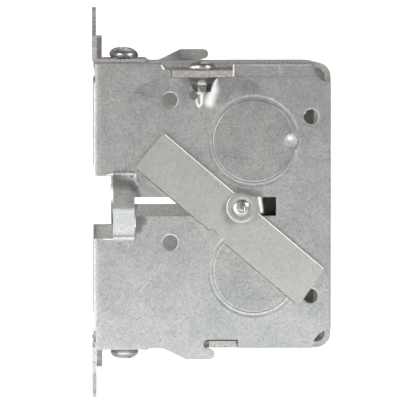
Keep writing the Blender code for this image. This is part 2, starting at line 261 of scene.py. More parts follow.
def zinc(name, cool, warm, shiny, metallic=0.8, grain=0.75, mottle=0.5, cloud=0.5, cut=None, cut_facing=False,
         bump=0.35, marks_and_painted_light=(), painted_highlights=(), fall=0.0, painted_shade_tone=None, deep=0.0, core=None):
    """Galvanised or plated steel: fine grain, soft blotches, duller sheared edges, chosen marks, and painted light and
    shade.

    Object coordinates are in metres; the textures work in millimetres. cut is the colour of the
    sheared edges: the faces along the sheet's normal, Y, or with cut_facing the faces that look
    along Y. core is the colour of the sheared edges nearer the middle of the side. A mark is
    (x0, z0, x1, z1, half width, brightness, soft edge) in mm on the sheet's face: a scratch, stain or faint line,
    or a painted shadow or painted highlight. A painted highlight that glows is a white streak:
    (x0, z0, x1, z1, half width, soft edge). fall is painted light that makes the sheet brighter downwards;
    deep is the distance in mm from the middle plane inside which the faces get painted light at the front and
    painted shade towards the back; and painted_shade_tone is the colour of the painted shade on the faces
    that look out from behind the side plate.
    """
    material = bpy.data.materials.new(name)
    material.use_nodes = True
    tree = material.node_tree
    shader = tree.nodes["Principled BSDF"]
    shader.inputs["Metallic"].default_value = metallic
    place = tree.nodes.new("ShaderNodeTexCoord")
    scaled = tree.nodes.new("ShaderNodeMapping")
    scaled.inputs["Scale"].default_value = (1000.0, 1000.0, 1000.0)
    link(tree, place, "Object", scaled, "Vector")
    mm = scaled.outputs["Vector"]

    def calc(operation, first, second=None, third=None, clamp=False):
        return value_of(tree, operation, first, second, third, clamp)

    def scaled_by(base, factor):
        node = tree.nodes.new("ShaderNodeVectorMath")
        node.operation = "SCALE"
        tree.links.new(base, node.inputs[0])
        tree.links.new(factor, node.inputs["Scale"])
        return node.outputs["Vector"]

    fine = noise(tree, mm, 1.9, 4.0, 0.8)
    medium = noise(tree, mm, 0.8, 3.0, 0.6)
    broad = noise(tree, mm, 0.11, 3.0, 0.6, 0.6)
    specks = calc("MULTIPLY_ADD", noise(tree, mm, 2.3, 2.0, 0.6), 7.0, -4.05, clamp=True)

    level = calc("MULTIPLY_ADD", fine, grain, 1.0 - 0.5 * grain)
    level = calc("MULTIPLY_ADD", medium, mottle, calc("ADD", level, -0.5 * mottle))
    level = calc("MULTIPLY_ADD", broad, cloud, calc("ADD", level, -0.5 * cloud))
    level = calc("MULTIPLY_ADD", specks, -0.30 * min(1.0, grain * 1.4), level)

    tint = ramp(tree, calc("MULTIPLY_ADD", fine, 0.5, calc("MULTIPLY", broad, 0.5)), [(0.38, cool), (0.62, warm)])
    colour = scaled_by(tint, level)
    rough = calc("MULTIPLY_ADD", medium, 0.20, shiny - 0.10)

    axes = tree.nodes.new("ShaderNodeSeparateXYZ")
    tree.links.new(mm, axes.inputs["Vector"])
    # painted light: the sheet brighter towards the bottom, as if lit from below
    if fall:
        brighter = calc("MULTIPLY_ADD", axes.outputs["Z"], -fall / 38.0, 1.0)
        colour = scaled_by(colour, brighter)
    # painted light and shade on the inside faces, within deep of the middle plane: lighter at the front, darker towards
    # the back
    if deep:
        inner = calc("LESS_THAN", calc("ABSOLUTE", axes.outputs["Y"]), deep)
        back = calc("MULTIPLY", inner, calc("MULTIPLY_ADD", axes.outputs["X"], 0.03, -0.75, clamp=True))
        colour = scaled_by(colour, calc("MULTIPLY_ADD", back, -0.72, calc("MULTIPLY_ADD", inner, 0.22, 1.0)))

    def mixed(mask, base, over):
        node = tree.nodes.new("ShaderNodeMix")
        node.data_type = "RGBA"
        tree.links.new(mask, node.inputs["Factor"])
        tree.links.new(base, node.inputs[6])
        if isinstance(over, tuple):
            node.inputs[7].default_value = (*over, 1.0)
        else:
            tree.links.new(over, node.inputs[7])
        return node.outputs[2]

    def looks_along_y():
        """The Y part of the face's normal, on the piece's own axes."""
        facing = tree.nodes.new("ShaderNodeNewGeometry")
        turned = tree.nodes.new("ShaderNodeVectorTransform")
        turned.vector_type = "NORMAL"
        turned.convert_from, turned.convert_to = "WORLD", "OBJECT"
        link(tree, facing, "Normal", turned, "Vector")
        parts = tree.nodes.new("ShaderNodeSeparateXYZ")
        link(tree, turned, "Vector", parts, "Vector")
        return parts.outputs["Y"]

    def streak_mask(x0, z0, x1, z1, half, soft):
        """1 on a straight mark between two points, fading over soft mm."""
        dx, dz = x1 - x0, z1 - z0
        long = math.hypot(dx, dz)
        ux, uz = dx / long, dz / long
        x = calc("SUBTRACT", axes.outputs["X"], x0)
        z = calc("SUBTRACT", axes.outputs["Z"], z0)
        along = calc("ADD", calc("MULTIPLY", x, ux), calc("MULTIPLY", z, uz))
        off = calc("SUBTRACT", calc("MULTIPLY", x, uz), calc("MULTIPLY", z, ux))
        past = calc("MAXIMUM", calc("MULTIPLY", along, -1.0), calc("SUBTRACT", along, long))
        past = calc("MAXIMUM", past, 0.0)
        far = calc("SQRT", calc("ADD", calc("MULTIPLY", past, past), calc("MULTIPLY", off, off)))
        return calc("MULTIPLY_ADD", far, -1.0 / soft, (half + soft) / soft, clamp=True)

    # marks: scratches, stains and faint lines, and also painted shadows and painted highlights
    for x0, z0, x1, z1, half, tone, *soft in marks_and_painted_light:
        mask = streak_mask(x0, z0, x1, z1, half, *(soft or (0.12,)))
        broken = calc("MULTIPLY", mask, calc("MULTIPLY_ADD", fine, 3.2, -0.9, clamp=True))
        colour = mixed(broken, colour, (tone, tone, tone * 0.99))
    painted_glow = None
    for x0, z0, x1, z1, half, soft in painted_highlights:
        mask = streak_mask(x0, z0, x1, z1, half, soft)
        painted_glow = mask if painted_glow is None else calc("MAXIMUM", painted_glow, mask)
    if painted_glow is not None:
        # painted highlights, which also glow: only on the outer face, and softer towards its edge
        painted_glow = calc("MULTIPLY", calc("POWER", painted_glow, 1.3), calc("LESS_THAN", axes.outputs["Y"], OUTER_FACE))
        colour = mixed(painted_glow, colour, PAINTED_HIGHLIGHT)
        shader.inputs["Emission Color"].default_value = (*PAINTED_HIGHLIGHT, 1.0)
        tree.links.new(calc("MULTIPLY", painted_glow, 0.45), shader.inputs["Emission Strength"])

    if cut:
        square = calc("ABSOLUTE", looks_along_y())
        sheared = calc("MULTIPLY_ADD", square, 4.0 if cut_facing else -4.0, -1.3 if cut_facing else 2.2, clamp=True)
        coarse = noise(tree, mm, 1.7, 4.0, 0.7)

        def torn(middle, darker, lighter):
            return ramp(tree, coarse, [(0.34, tuple(c * darker for c in middle)), (0.50, middle),
                                       (0.66, tuple(min(1.0, c * lighter) for c in middle))])

        grainy = torn(cut, 0.62, 1.5)
        if core:
            near = calc("MULTIPLY_ADD", calc("ABSOLUTE", axes.outputs["Z"]), -3.0, HALF_HEIGHT * 3.0, clamp=True)
            grainy = mixed(near, grainy, torn(core, 0.72, 1.3))
        colour = mixed(calc("MULTIPLY", sheared, 0.9), colour, grainy)
        rough = calc("MULTIPLY_ADD", sheared, 0.12, rough)
    # painted shade: a near-black colour on the faces that look out from behind the side plate
    if painted_shade_tone:
        painted_shade = calc("MULTIPLY_ADD", axes.outputs["Y"], 1.2, 30.2, clamp=True)
        painted_shade = calc("MULTIPLY", painted_shade, calc("MULTIPLY_ADD", looks_along_y(), -1.6, -0.1, clamp=True))
        colour = mixed(painted_shade, colour, painted_shade_tone)
        rough = calc("MULTIPLY_ADD", painted_shade, 0.3, rough)
    tree.links.new(colour, shader.inputs["Base Color"])
    tree.links.new(rough, shader.inputs["Roughness"])

    height = calc("MULTIPLY_ADD", fine, 0.5, medium)
    lumpy = tree.nodes.new("ShaderNodeBump")
    lumpy.inputs["Strength"].default_value = bump
    lumpy.inputs["Distance"].default_value = 0.00004
    tree.links.new(height, lumpy.inputs["Height"])
    link(tree, lumpy, "Normal", shader, "Normal")
    return material


COOL, WARM = (0.592, 0.608, 0.602), (0.622, 0.612, 0.588)
SHEARED, CLEANER = (0.56, 0.515, 0.50), (0.62, 0.575, 0.545)
# Marks on the side plate: scratches, faint dark lines and stains, and painted highlights and shadows.
PLATE_MARKS_AND_PAINTED_LIGHT = [(11.8, -23.3, 17.8, -15.7, 0.04, 0.90), (49.6, 35.6, 49.2, 37.6, 0.05, 1.0),
           (10.6, -30.8, 11.8, -30.2, 0.05, 0.30), (36.9, 34.6, 60.5, 34.7, 0.05, 0.40),
           # a faint dark line, and a broken bright line along the top edge: its burr, with a painted highlight
           (19.4, 34.4, 19.5, 31.2, 0.05, 0.34), (37.2, 37.8, 57.5, 37.8, 0.07, 0.98),
           (10.2, 30.6, 12.9, 30.2, 0.14, 0.36), (5.6, 33.2, 8.2, 32.6, 0.10, 0.44), (5.0, 31.0, 6.4, 30.7, 0.07, 0.46),
           # painted highlights on the sheared edges of the notch round the lug
           (36.8, 34.7, 36.8, 37.9, 0.12, 1.0), (17.8, 37.7, 18.1, 36.9, 0.16, 1.0),
           # painted shadows that the strip casts on the plate beside it
           (10.6, 5.4, 11.5, 2.6, 0.35, 0.34, 0.5), (11.2, -3.2, 11.4, -6.4, 0.7, 0.32, 0.6),
           (11.4, -3.1, 12.7, -4.2, 0.9, 0.34, 0.5),
           # painted shade under the top of the strip
           (5.2, 6.3, 10.2, 5.9, 0.5, 0.34, 1.6), (9.4, 6.0, 10.2, 4.4, 0.2, 0.24, 0.9),
           # a painted highlight on the knockout's tie dimple
           (52.2, 17.4, 52.3, 17.4, 1.5, 0.74, 0.5)]
plate_zinc = zinc("plate_zinc", COOL, WARM, 0.46, grain=1.15, mottle=0.24, cloud=0.42, cut=SHEARED, marks_and_painted_light=PLATE_MARKS_AND_PAINTED_LIGHT,
                  # glowing painted highlights: the bright reflection streak below the gang screw and its two prongs, a
                  # spot on the tie dimple, and the sheared edges of the notch round the lug
                  painted_highlights=[(32.2, 33.9, 31.8, 31.3, 0.10, 0.9), (31.8, 31.3, 30.6, 27.9, 0.35, 1.7),
                          (28.45, 30.0, 28.4, 27.4, 0.08, 0.4), (28.4, 27.4, 27.7, 26.6, 0.03, 0.4),
                          (27.7, 26.6, 27.2, 27.4, 0.03, 0.4), (27.2, 27.4, 27.1, 28.6, 0.02, 0.35),
                          (52.9, 18.2, 53.1, 17.8, 0.10, 0.9), (37.0, 35.0, 37.0, 37.8, 0.12, 0.22),
                          (17.7, 37.6, 18.3, 36.8, 0.10, 0.25)],
                  # painted light brighter towards the bottom, and painted light and shade on the inside faces
                  fall=0.05, deep=25.2)
body_zinc = zinc("body_zinc", COOL, WARM, 0.42, cut=SHEARED, cut_facing=True, core=CLEANER)
slug_zinc = zinc("slug_zinc", (0.50, 0.52, 0.505), (0.53, 0.52, 0.495), 0.50, grain=1.4, mottle=0.24, cut=SHEARED,
                 # a painted highlight on the tie dimple, a glowing painted highlight at its top, and painted light
                 # brighter towards the bottom
                 marks_and_painted_light=[(52.2, 17.4, 52.3, 17.4, 1.5, 0.80, 0.5)], painted_highlights=[(52.1, 18.0, 52.3, 18.0, 0.05, 0.8)],
                 fall=0.08)
wall_slug_zinc = zinc("wall_slug_zinc", (0.555, 0.575, 0.56), (0.59, 0.575, 0.55), 0.50)
ear_zinc = zinc("ear_zinc", COOL, WARM, 0.40, cut=(0.86, 0.79, 0.82), cut_facing=True)
# Dark base colours as painted shade, for the collar in the lug's shadow; the marks paint a reflection down the middle
# of each sleeve.
collar_zinc = zinc("collar_zinc", (0.12, 0.125, 0.12), (0.16, 0.145, 0.13), 0.36, metallic=0.9, grain=0.5, mottle=0.4,
                   marks_and_painted_light=[(28.3, 32.9, 28.3, 30.9, 0.9, 0.62, 0.4), (28.3, -32.6, 28.3, -30.9, 0.9, 0.62, 0.4)])
# the bar's two long edges at rest: a painted highlight along the upper one, a painted shade line along the lower one
UPPER_EDGE, LOWER_EDGE = (18.62, 19.16, 61.04, -16.81), (11.06, 9.78, 53.48, -26.2)
bar_zinc = zinc("bar_zinc", (0.705, 0.69, 0.66), (0.735, 0.705, 0.665), 0.44, grain=0.6, mottle=0.2, cloud=0.12,
                # a glowing painted highlight along the upper edge
                cut=(0.92, 0.84, 0.72), bump=0.22, painted_highlights=[(*UPPER_EDGE, 0.05, 0.15)],
                # painted shade: a dark line along the lower edge and along the notch in it, and the painted shadow of
                # the clip's disc below the pivot
                marks_and_painted_light=[(*LOWER_EDGE, 0.12, 0.20, 0.12), (30.4, -6.5, 31.2, -6.2, 0.08, 0.26, 0.1),
                       (31.2, -6.2, 34.6, -9.4, 0.08, 0.26, 0.1), (35.7, -0.8, 36.3, -3.2, 0.5, 0.30, 1.9)])
clip_zinc = zinc("clip_zinc", (0.62, 0.63, 0.61), (0.66, 0.65, 0.62), 0.42, metallic=0.75, grain=0.6, mottle=0.3,
                 # a glowing painted highlight on the neck's bend, and near-black painted shade on the foot and tail
                 # behind the side plate
                 cloud=0.2, bump=0.25, painted_highlights=[(43.9, 2.2, 44.5, -1.2, 0.15, 0.5)], painted_shade_tone=(0.085, 0.08, 0.07))
rivet_zinc = zinc("rivet_zinc", (0.68, 0.69, 0.675), (0.72, 0.71, 0.68), 0.34, metallic=0.9, grain=0.4, mottle=0.3,
                  cloud=0.2, bump=0.25)
screw_zinc = zinc("screw_zinc", (0.62, 0.65, 0.69), (0.72, 0.71, 0.70), 0.41, metallic=1.0, grain=0.5, mottle=0.6,
                  cloud=0.1, bump=0.35)


def dressed(piece, material, width=0.14, angle=32.0):
    """Material, a small rounding on the sharp edges, and smooth shading between them."""
    piece.data.materials.clear()
    piece.data.materials.append(material)
    for face in piece.data.polygons:
        face.material_index = 0
        face.use_smooth = True
    if width:
        bevel = piece.modifiers.new("rounded_edges", "BEVEL")
        bevel.width = width * MM
        bevel.segments = 2
        bevel.limit_method = "ANGLE"
        bevel.angle_limit = math.radians(angle)
        bevel.use_clamp_overlap = True
        bevel.harden_normals = True
    return piece


def added(name, mesh, material, body, node, slot, turned=False, width=0.14, angle=32.0):
    piece = bpy.data.objects.new(name, mesh)
    scene.collection.objects.link(piece)
    dressed(piece, material, width, angle)
    piece.data.set_sharp_from_angle(angle=math.radians(angle))
    if turned:
        piece.matrix_world = HALF_TURN
    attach(piece, body)
    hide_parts(node)
    return piece


def pair(name, mesh, material, bodies, node_pair, slot, **options):
    """The right-hand piece and its left-hand twin, half a turn about X."""
    twin = mesh.copy()
    added(name + "_right_look", mesh, material, bodies[0], node_pair[0], slot, **options)
    added(name + "_left_look", twin, material, bodies[1], node_pair[1], slot, turned=True, **options)


# ---------------------------------------------------------------- side plates and knockouts

OUT, INTO = -25.4, -23.8
BACK = span("side_plate_right")[1].x
KNOCK_R, TIE_R, TIE_AT = 11.2, 2.2, 10.0
KNOCKS = ((42.5, 17.35), (42.5, -17.75))
HOLES = ((19.9, 28.4, 2.05), (20.0, -9.95, 2.05), (57.9, 23.9, 2.0), (57.8, -24.4, 2.0), (26.3, 29.8, 1.3))
TOP, LOW = 38.0, -38.5
GAP_TOP, GAP_LOW = 8.0, -8.8
SLOT_TOP, SLOT_LOW, SLOT_END = 2.3, -2.8, 48.5
STRIP_ROOT = 10.2


def tied_circle(cx, cy, radius, tie_radius, towards=0.0):
    """A knockout's outline: a circle with a small lobe round its tie."""
    wide = math.degrees(math.acos((TIE_AT ** 2 + radius ** 2 - tie_radius ** 2) / (2 * TIE_AT * radius)))
    meet_x = radius * math.cos(math.radians(wide)) - TIE_AT
    lobe = math.degrees(math.atan2(radius * math.sin(math.radians(wide)), meet_x))
    points = arc(0.0, 0.0, radius, wide, 360.0 - wide, 96)
    points += arc(TIE_AT, 0.0, tie_radius, -lobe, lobe, 14)[1:-1]
    c, s = math.cos(math.radians(towards)), math.sin(math.radians(towards))
    return [(cx + u * c - v * s, cy + u * s + v * c) for u, v in points]


def ramped(value, low, high):
    """0 below low, 1 above high, with a smooth step between."""
    t = min(1.0, max(0.0, (value - low) / (high - low)))
    return t * t * (3.0 - 2.0 * t)


def ring_relief(away):
    """The pressed ring round a knockout, by distance from its centre."""
    return -0.07 * math.exp(-((away - 11.9) / 0.36) ** 2) + 0.028 * math.exp(-((away - 12.6) / 0.35) ** 2)


def plate_relief(x, z):
    """How far the side plate's face stands out: rings, ties, rolled edges, the strip's root and hole rims."""
    rise = 0.0
    for cx, cz in KNOCKS:
        dent = math.hypot(x - cx - TIE_AT, z - cz)
        fade = ramped(dent, 2.2, 3.3)
        rise += ring_relief(math.hypot(x - cx, z - cz)) * fade
        rise += 0.09 * math.exp(-((dent - 2.6) / 0.35) ** 2)
    left = max(0.0, 0.45 - x)
    rise -= 0.30 * left * ramped(left, 0.0, 0.25) + 0.25 * max(0.0, left - 0.7)
    right = max(0.0, x - (BACK - 0.75))
    rise -= 0.34 * (1.0 - math.sqrt(max(0.0, 1.0 - min(1.0, right / 0.8) ** 2)))
    rise += 0.42 * math.exp(-((x - 10.95) / 0.42) ** 2) * ramped(z, 5.6, 6.6) * (1.0 - ramped(z, 8.2, 9.2))
    for hx, hz, radius in HOLES[:4]:
        rise -= 0.10 * math.exp(-((math.hypot(x - hx, z - hz) - radius) / 0.22) ** 2)
    return rise




def plate_mesh(flared):
    """The side plate with its slot, gap, hook, knockout holes and strip."""
    edge = [-0.5, -0.35, -0.15, 0.1, 0.45]
    outline = [(-0.1, TOP), (0.45, TOP), (17.7, TOP), (18.9, 36.5), (20.1, 36.5), (20.1, 34.4),
               (36.6, 34.4), (36.6, 36.5), (36.9, 36.5), (36.9, TOP)]
    outline += arc(BACK, TOP, 4.95, 180, 270, 14)
    outline += arc(BACK, LOW, 4.95, 90, 180, 14)
    outline += [(38.2, LOW), (38.2, -36.2)]
    outline += arc(30.1, -37.4, 1.2, 90, 270, 12)
    outline += [(31.3, -38.95), (31.9, -39.5), (32.0, -40.4), (31.6, -41.15), (30.8, -41.5),
                (24.2, -41.5), (18.0, LOW), (0.45, LOW), (-0.1, LOW), (-0.1, -34.0), (-0.5, -33.6)]
    outline += [(x, GAP_LOW) for x in edge] + [(10.7, GAP_LOW), (10.7, SLOT_LOW), (SLOT_END, SLOT_LOW)]
    outline += [(SLOT_END, SLOT_TOP)] + [(STRIP_ROOT, z) for z in (SLOT_TOP, 5.6, 6.4, 7.2, GAP_TOP)]
    outline += [(x, GAP_TOP) for x in reversed(edge)] + [(-0.5, 32.8), (-0.1, 33.2)]
    holes = [circle(x, z, r, 48) for x, z, r in HOLES]
    holes += [tied_circle(x, z, KNOCK_R, TIE_R) for x, z in KNOCKS]
    loops = [outline, *holes]
    extra = []
    for cx, cz in KNOCKS:
        for radius in (11.35, 11.5, 11.65, 11.8, 11.95, 12.1, 12.25, 12.4, 12.6, 12.8, 13.0, 13.3):
            extra += [p for p in circle(cx, cz, radius, 120) if inside(p, loops)
                      and math.hypot(p[0] - cx - TIE_AT, p[1] - cz) > 3.2]
        for radius in (2.35, 2.5, 2.65, 2.8, 3.0, 3.3):
            extra += [p for p in circle(cx + TIE_AT, cz, radius, 36)
                      if inside(p, loops) and math.hypot(p[0] - cx, p[1] - cz) > KNOCK_R + 0.12]
    for hx, hz, radius in HOLES[:4]:
        for grow in (0.12, 0.25, 0.42, 0.6):
            extra += circle(hx, hz, radius + grow, 48)
    for step in range(-19, 20):
        z = 1.97 * step
        if not -8.9 < z < 8.1:
            extra += [(x, z) for x in edge[1:]]
        if abs(z) < 33.0:
            extra += [(BACK - d, z) for d in (0.12, 0.25, 0.42, 0.6, 0.76)]
    for i in range(14):
        z = 5.3 + 0.3 * i
        extra += [(x, z) for x in (10.85, 11.05, 11.3, 11.6, 12.0)]
    rim = [p for loop in loops for p in loop]
    for column in range(19):
        for row in range(24):
            at = (1.9 + 3.3 * column, -37.6 + 3.27 * row)
            ringed = any(9.8 < math.hypot(at[0] - cx, at[1] - cz) < 13.9 for cx, cz in KNOCKS)
            if not ringed and inside(at, loops) and min(math.dist(at, p) for p in rim) > 0.9:
                extra.append(at)
    flat = pressed_sheet("plate_flat", OUT, INTO, loops, extra, plate_relief)
    return combined("plate", flat, [("UNION", strip_mesh(flared))])


def strip_bow(z, across):
    """How far the strip stands out at a height, from its left edge (0) to its right edge (1)."""
    crest, top = -0.9, 8.5 - 1.9 * across ** 1.6
    if z > crest:
        u = min(1.0, (z - crest) / (top - crest))
        bow = 4.0 * (1.0 - u * u) ** (0.62 + 0.38 * across)
    elif z > -7.7:
        bow = 4.0 - 2.9 * (crest - z) / 6.8
    else:
        v = min(1.0, (-7.7 - z) / 2.1)
        bow = 1.1 * math.sqrt(max(0.0, 1.0 - v * v)) - 0.12 * math.exp(-((z + 7.85) / 0.2) ** 2)
    return bow + 0.5 * math.exp(-((z - 8.85) / 0.42) ** 2) * (1.0 - 0.5 * across)


def strip_mesh(flared):
    heights = [10.1, 9.8, 9.5, 9.2, 9.0, 8.8, 8.6, 8.4, 8.2]
    heights += [-0.9 + 9.0 * math.cos(math.radians(a)) for a in range(30, 90, 4)] + [-0.9]
    heights += [-1.1 - 0.66 * i for i in range(10)]
    heights += [-7.5, -7.7, -7.85, -8.0, -8.2, -8.5, -8.8, -9.1, -9.4, -9.6, -9.8]
    sections = []
    for z in heights:
        lobe = (0.85 if flared else 0.05) * max(0.0, 1.0 - ((z - 3.9) / 3.4) ** 2)
        columns = [(4.6 - lobe, OUT - strip_bow(z, 0.0) + 0.1 + 0.75 * min(1.0, lobe * 2.0))]
        columns += [(4.6 + 5.75 * t, OUT + 0.04 - strip_bow(z, t)) for t in (0.0, 0.2, 0.4, 0.6, 0.8, 0.92, 1.0)]
        back = [(x, min(y + 1.3, OUT + 1.35)) for x, y in reversed(columns)]
        sections.append([(x, y, z) for x, y in columns + back])
    return lofted("strip", sections)


for side, flared in (("right", True), ("left", False)):
    added(f"side_plate_{side}_look", plate_mesh(flared), plate_zinc, "box", f"side_plate_{side}", "galvanised_sheet",
          turned=not flared, width=0.16)


def slug_mesh(name, axis, low, high, towards, centre=(0.0, 0.0)):
    """A knockout slug with a V edge and a round dimple at its tie."""
    c, s = math.cos(math.radians(towards)), math.sin(math.radians(towards))
    u, v = centre[0] + TIE_AT * c, centre[1] + TIE_AT * s
    rim = tied_circle(*centre, KNOCK_R - 0.05, TIE_R - 0.05, towards)
    extra = []
    for radius in (11.0, 10.85, 10.7, 10.5, 10.2):
        extra += [p for p in circle(*centre, radius, 96) if math.hypot(p[0] - u, p[1] - v) > 2.5]
    for radius in (0.3, 0.6, 0.9, 1.2, 1.5, 1.75, 1.95, 2.15, 2.4):
        extra += [p for p in circle(u, v, radius, 30) if inside(p, [rim])
                  and (radius < 2.1 or math.hypot(p[0] - centre[0], p[1] - centre[1]) < 10.95)]

    def relief(a, b):
        dent = math.hypot(a - u, b - v)
        away = math.hypot(a - centre[0], b - centre[1])
        near = ramped(dent, 1.9, 2.5)
        rise = -0.22 * (1.0 - ramped(dent, 0.2, 1.9)) + 0.07 * math.exp(-((dent - 2.1) / 0.22) ** 2)
        return rise - 0.16 * ramped(away, 10.75, 11.15) * near

    if axis == "Y":
        return pressed_sheet(name, low, high, [rim], extra, relief)
    mesh = pressed_sheet(name, -high, -low, [rim], extra, relief)
    if axis == "Z":
        mesh.transform(Matrix.Rotation(math.radians(-90.0), 4, "X"))
    else:
        mesh.transform(Matrix.Rotation(math.radians(90.0), 4, "Z"))
    return mesh


for (x, z), level, other in ((KNOCKS[0], "upper", "lower"), (KNOCKS[1], "lower", "upper")):
    pair("knockout_" + level, slug_mesh("slug_" + level, "Y", OUT, INTO, 0.0, (x, z)), slug_zinc, ("box", "box"),
         (f"knockout_{level}_right", f"knockout_{other}_left"), "galvanised_sheet", width=0.13)
wall_low, wall_high = span("knockout_top")
top_slug = slug_mesh("slug_top", "Z", wall_low.z, wall_high.z, 180.0, (46.0, 0.0))
added("knockout_top_look", top_slug, wall_slug_zinc, "box", "knockout_top", "galvanised_sheet", width=0.13)
added("knockout_bottom_look", top_slug.copy(), wall_slug_zinc, "box", "knockout_bottom", "galvanised_sheet",
      turned=True, width=0.13)
back_low, back_high = span("knockout_back")
added("knockout_back_look", slug_mesh("slug_back", "X", back_low.x, back_high.x, 90.0), wall_slug_zinc, "box",
      "knockout_back", "galvanised_sheet", width=0.13)


# ---------------------------------------------------------------- screws


def screw_mesh(name, root, crest, pitch, tip, low, high, head_r, slot_wide, cross, axis_at):
    """A round-head screw, point down: a helical thread, a domed head, and its driver recess."""
    count = 40
    rows = [([0.0], tip)]
    rise = pitch / 8
    length = low - tip
    steps = int(length / rise)
    for k in range(steps + 1):
        z = tip + min(length, k * rise)
        lead = min(1.0, (z - tip) / 1.0)
        radii = []
        for i in range(count):
            phase = (z / pitch - i / count) % 1.0
            tooth = max(0.0, 1.0 - abs(phase - 0.5) * 2.6)
            radii.append((root - 0.35 * (1.0 - lead)) + (crest - root) * tooth * lead)
        if z > low - 0.5:
            radii = [max(root, r * 0.98) for r in radii]
        rows.append((radii, z))
    tall = high - low
    rows.append(([root] * count, low))
    rows.append(([head_r * 0.93] * count, low))
    for a in range(0, 88, 8):
        angle = math.radians(a)
        rows.append(([head_r * math.cos(angle) ** 0.75] * count, low + 0.26 * tall + 0.74 * tall * math.sin(angle)))
    rows.insert(len(rows) - 11, ([head_r * 0.985] * count, low + 0.12 * tall))
    rows.append(([0.0], high))
    solid = rings(name, rows)
    cuts = [("DIFFERENCE", block(name + "_slot", (-head_r - 1, head_r + 1), (-slot_wide / 2, slot_wide / 2),
                                 (high - 0.95, high + 1.0)))]
    if cross:
        cuts.append(("DIFFERENCE", block(name + "_cross", (-slot_wide * 0.45, slot_wide * 0.45), (-1.9, 1.9),
                                         (high - 1.5, high + 1.0))))
        cuts.append(("DIFFERENCE", block(name + "_cross_b", (-1.9, 1.9), (-slot_wide * 0.45, slot_wide * 0.45),
                                         (high - 1.5, high + 1.0))))
    mesh = combined(name, solid, cuts)
    mesh.transform(Matrix.Translation(Vector((axis_at[0], axis_at[1], 0.0)) * MM))
    return mesh


def turned_about(mesh, centre, degrees):
    """The mesh turned about a vertical line, so that no two slots line up."""
    at = Vector((centre[0], centre[1], 0.0)) * MM
    mesh.transform(Matrix.Translation(at) @ Matrix.Rotation(math.radians(degrees), 4, "Z") @ Matrix.Translation(-at))
    return mesh


low, high = span("gang_screw_right")
gang_at = ((low.x + high.x) / 2, (low.y + high.y) / 2)
gang = turned_about(screw_mesh("gang_screw", 1.74, 2.05, 0.794, low.z, 36.6, high.z - 0.1, 3.6, 1.05, False, gang_at),
                    gang_at, 68.0)
pair("gang_screw", gang, screw_zinc, ("box", "box"), ("gang_screw_right", "gang_screw_left"), "zinc_fastener",
     width=0.08, angle=38.0)


def collar_mesh():
    """The drawn collar under the lug: a cone that runs out into a thin ribbed sleeve."""
    count = 56
    rows = [([4.15] * count, 34.72), ([4.1] * count, 34.5), ([3.75] * count, 34.05), ([3.3] * count, 33.5),
            ([3.0] * count, 33.1), ([2.86] * count, 32.8)]
    z = 32.7
    while z > 31.0:
        fall = (32.7 - z) / 1.7
        rows += [([2.86 - 0.42 * fall] * count, z), ([2.70 - 0.42 * fall] * count, z - 0.14),
                 ([2.84 - 0.42 * fall] * count, z - 0.30)]
        z -= 0.42
    rows += [([2.3] * count, 30.85), ([2.1] * count, 30.85), ([2.1] * count, 34.72)]
    return rings("collar", rows[::-1] + [rows[-1]], "Z", gang_at)


collar = collar_mesh()
for side, turned_over in (("right", False), ("left", True)):
    added(f"lug_collar_{side}", collar.copy(), collar_zinc, "box", f"gang_screw_{side}", "galvanised_sheet",
          turned=turned_over, width=0.0, angle=50.0)

for side, turn_top, turn_low in (("right", 24.0, 60.0), ("left", -35.0, 10.0)):
    low, high = span(f"ear_screw_top_{side}")
    at = ((low.x + high.x) / 2, (low.y + high.y) / 2)
    head = high.z - 2.5
    for where, turn, upside in (("top", turn_top, False), ("bottom", turn_low, True)):
        place = (at[0], -at[1]) if upside else at
        mesh = turned_about(screw_mesh(f"ear_screw_{where}_{side}", 1.42, 1.74, 0.794, low.z, head, high.z, 3.8, 1.0,
                                       True, place), place, turn)
        added(f"ear_screw_{where}_{side}_look", mesh, screw_zinc, "box", f"ear_screw_{where}_{side}",
              "zinc_fastener", turned=upside, width=0.08, angle=38.0)


# ---------------------------------------------------------------- clip and rivet

rivet_low, rivet_high = span("pivot_rivet_right")
PX, PZ = (rivet_low.x + rivet_high.x) / 2, (rivet_low.z + rivet_high.z) / 2
CLIP_OUT = span("bar_clip_right")[0].y
CLIP_IN = CLIP_OUT + 1.0
FOOT_Y = -23.1


